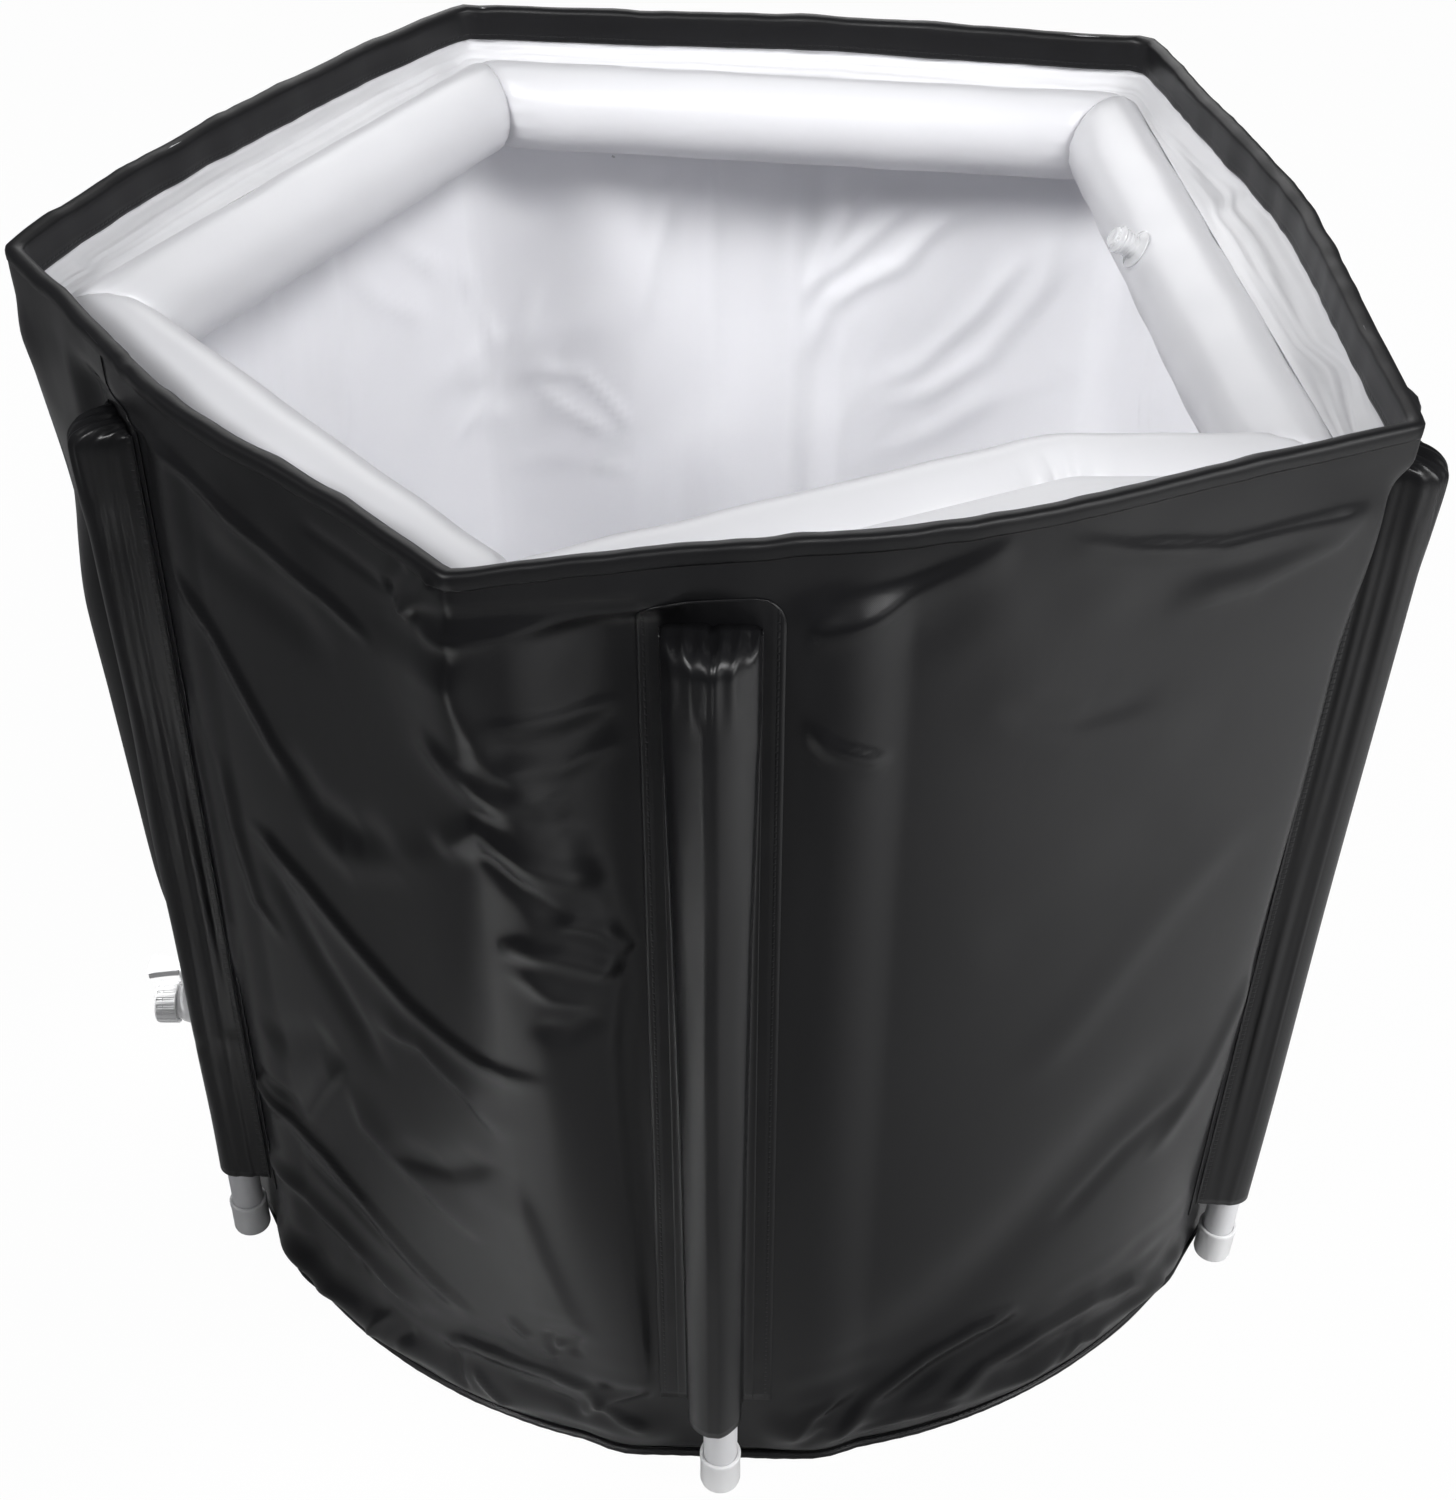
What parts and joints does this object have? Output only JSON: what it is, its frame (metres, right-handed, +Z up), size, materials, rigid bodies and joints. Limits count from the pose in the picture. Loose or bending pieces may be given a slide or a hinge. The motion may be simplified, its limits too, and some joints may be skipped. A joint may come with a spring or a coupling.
{
  "type": "portable ice bath tub",
  "caption": "Free-standing soft cold plunge tub: coated-cloth wall on poles in sewn sleeves, inflated ring in the mouth, insulated white liner and a low drain tap.",
  "frame": {"origin": "middle of the base's underside, on the plane that the tub stands on", "axes": "+Z up the tub; the side that faces the picture's viewer faces -Y; the drain tap points along -X"},
  "size_m": [0.8422, 0.8389, 0.698],
  "materials": {
    "black_cloth": "satin black coated cloth",
    "black_trim": "black sewn binding",
    "foam": "grey closed-cell foam",
    "white_vinyl": "soft white coated cloth, satin",
    "white_pipe": "white plastic pipe",
    "white_plastic": "moulded white plastic",
    "clear_vinyl": "clear soft vinyl",
    "rubber": "black rubber"
  },
  "bodies": {
    "tub": {"outer_shell": "black_cloth", "base_panel": "black_cloth", "pole_sleeve_front_left": "black_cloth", "pole_sleeve_front": "black_cloth", "pole_sleeve_front_right": "black_cloth", "pole_sleeve_back_right": "black_cloth", "pole_sleeve_back": "black_cloth", "pole_sleeve_back_left": "black_cloth", "sleeve_patch_front_left": "black_cloth", "sleeve_patch_front": "black_cloth", "sleeve_patch_front_right": "black_cloth", "sleeve_patch_back_right": "black_cloth", "sleeve_patch_back": "black_cloth", "sleeve_patch_back_left": "black_cloth", "rim_hem": "black_trim", "base_piping": "black_trim", "wall_insulation": "foam", "floor_insulation": "foam", "wall_liner": "white_vinyl", "floor_liner": "white_vinyl", "ring_flange": "white_vinyl", "ring_tube_front": "white_vinyl", "ring_tube_right": "white_vinyl", "ring_tube_back": "white_vinyl", "ring_tube_back_left": "white_vinyl", "ring_tube_front_left": "white_vinyl", "drain_fitting": "white_plastic", "drain_lock_nut": "white_plastic", "drain_tap_body": "white_plastic", "valve_stem": "clear_vinyl", "valve_flap": "clear_vinyl", "drain_gasket": "rubber"},
    "pole_front_left": {"pole_front_left": "white_pipe", "foot_cap_front_left": "white_plastic", "top_cap_front_left": "white_plastic"},
    "pole_front": {"pole_front": "white_pipe", "foot_cap_front": "white_plastic", "top_cap_front": "white_plastic"},
    "pole_front_right": {"pole_front_right": "white_pipe", "foot_cap_front_right": "white_plastic", "top_cap_front_right": "white_plastic"},
    "pole_back_right": {"pole_back_right": "white_pipe", "foot_cap_back_right": "white_plastic", "top_cap_back_right": "white_plastic"},
    "pole_back": {"pole_back": "white_pipe", "foot_cap_back": "white_plastic", "top_cap_back": "white_plastic"},
    "pole_back_left": {"pole_back_left": "white_pipe", "foot_cap_back_left": "white_plastic", "top_cap_back_left": "white_plastic"},
    "drain_lever": {"drain_ball": "white_plastic", "drain_handle": "white_plastic"},
    "drain_cap": {"drain_cap": "white_plastic"},
    "valve_plug": {"valve_plug": "clear_vinyl"}
  },
  "joints": [
    {"name": "pole_slide_front_left", "type": "slide", "parent": "tub", "child": "pole_front_left", "axis": [0.0027, 0.0015, -1], "range_m": [0, 0.59]},
    {"name": "pole_slide_front", "type": "slide", "parent": "tub", "child": "pole_front", "axis": [0.0002, 0.0062, -1], "range_m": [0, 0.59]},
    {"name": "pole_slide_front_right", "type": "slide", "parent": "tub", "child": "pole_front_right", "axis": [-0.0275, 0.0169, -0.9995], "range_m": [0, 0.59]},
    {"name": "pole_slide_back_right", "type": "slide", "parent": "tub", "child": "pole_back_right", "axis": [0.0108, 0.0059, -0.9999], "range_m": [0, 0.59]},
    {"name": "pole_slide_back", "type": "slide", "parent": "tub", "child": "pole_back", "axis": [0.0004, 0.0154, -0.9999], "range_m": [0, 0.59]},
    {"name": "pole_slide_back_left", "type": "slide", "parent": "tub", "child": "pole_back_left", "axis": [-0.0052, 0.0032, -1], "range_m": [0, 0.59]},
    {"name": "drain_lever_turn", "type": "hinge", "parent": "tub", "child": "drain_lever", "pos_m": [-0.4252, 0, 0.04], "axis": [0, 0, 1], "range_deg": [0, 90]},
    {"name": "drain_cap_off", "type": "slide", "parent": "tub", "child": "drain_cap", "axis": [-1, 0, 0], "range_m": [0, 0.018]},
    {"name": "valve_plug_pull", "type": "slide", "parent": "tub", "child": "valve_plug", "axis": [-0.8645, -0.0507, 0.5], "range_m": [0, 0.009]}
  ]
}
